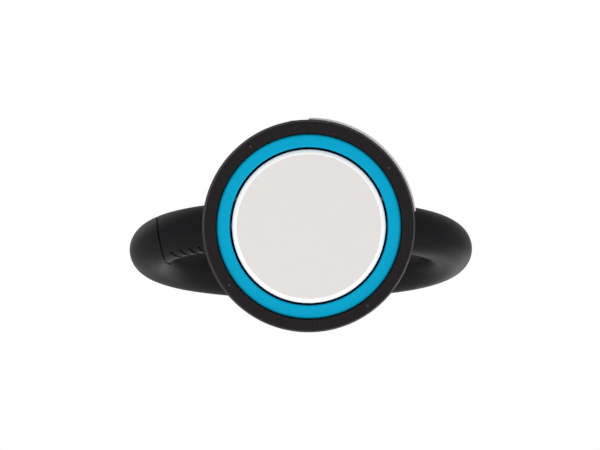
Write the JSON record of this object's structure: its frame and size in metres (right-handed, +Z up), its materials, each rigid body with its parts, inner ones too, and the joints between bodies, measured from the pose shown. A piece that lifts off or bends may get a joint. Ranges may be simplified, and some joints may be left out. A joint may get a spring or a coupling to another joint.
{
  "type": "self inking stamp",
  "caption": "Round self-inking hand stamp with a flip-over text plate, slide-out ink pad, two lock buttons and a leaning loop handle, stored locked down.",
  "frame": {"origin": "centre of the foot ring's lower face", "axes": "+Z up, X along the loop handle's width, the loop leans toward -Y, the user's side"},
  "size_m": [0.1166, 0.0641, 0.1635],
  "materials": {
    "black_plastic": "fine satin moulding",
    "blue_plastic": "satin gloss",
    "steel": "bright zinc",
    "soft_touch": "soft touch",
    "plate_rubber": "smooth blank",
    "foam": "open foam",
    "ink_felt": "inked felt",
    "card": "paper card",
    "clear_plastic": "clear",
    "core_plastic": "plain moulding"
  },
  "bodies": {
    "base": {"foot_ring": "black_plastic", "mouth_ring": "blue_plastic", "sight_lip": "clear_plastic", "ring_pin_1": "steel", "ring_pin_2": "steel", "ring_pin_3": "steel", "ring_pin_4": "steel", "cam_wall_left": "core_plastic", "cam_wall_right": "core_plastic", "housing_shell": "black_plastic", "index_card": "card", "index_window": "clear_plastic", "roof_cover": "black_plastic", "lock_spring_front_left": "steel", "lock_spring_front_right": "steel", "lock_spring_rear_left": "steel", "lock_spring_rear_right": "steel", "return_spring": "steel"},
    "handle": {"crown": "black_plastic", "crown_band": "blue_plastic", "yoke_bridge": "steel", "latch_hook_front": "steel", "latch_hook_rear": "steel", "neck": "black_plastic", "handle_loop": "soft_touch", "handle_core": "core_plastic", "ribbed_grip": "soft_touch", "handle_screw_left": "steel", "handle_screw_right": "steel", "leg_tube_left": "steel", "leg_tube_right": "steel", "bearing_block_left": "core_plastic", "bearing_block_right": "core_plastic"},
    "plate": {"text_plate": "plate_rubber", "plate_cushion": "foam", "plate_carrier": "black_plastic", "trunnion_pin_left": "steel", "trunnion_pin_right": "steel", "cam_pin_left": "steel", "cam_pin_right": "steel"},
    "pad_drawer": {"pad_tray": "black_plastic", "ink_pad": "ink_felt", "pad_tab": "blue_plastic"},
    "lock_front": {"lock_button_front": "blue_plastic"},
    "lock_rear": {"lock_button_rear": "blue_plastic"}
  },
  "joints": [
    {"name": "press", "type": "slide", "parent": "base", "child": "handle", "axis": [0, 0, 1], "range_m": [0, 0.036], "deforming": ["return_spring"]},
    {"name": "plate_flip", "type": "hinge", "parent": "handle", "child": "plate", "pos_m": [0, 0, 0.0066], "axis": [1, 0, 0], "range_deg": [0, 180]},
    {"name": "drawer_slide", "type": "slide", "parent": "base", "child": "pad_drawer", "axis": [0, -1, 0], "range_m": [0, 0.052]},
    {"name": "lock_front_press", "type": "slide", "parent": "base", "child": "lock_front", "axis": [0, 1, 0], "range_m": [0, 0.0015], "stiffness_N_per_m": 400, "deforming": ["lock_spring_front_left", "lock_spring_front_right"]},
    {"name": "lock_rear_press", "type": "slide", "parent": "base", "child": "lock_rear", "axis": [0, -1, 0], "range_m": [0, 0.0015], "stiffness_N_per_m": 400, "deforming": ["lock_spring_rear_left", "lock_spring_rear_right"]}
  ]
}
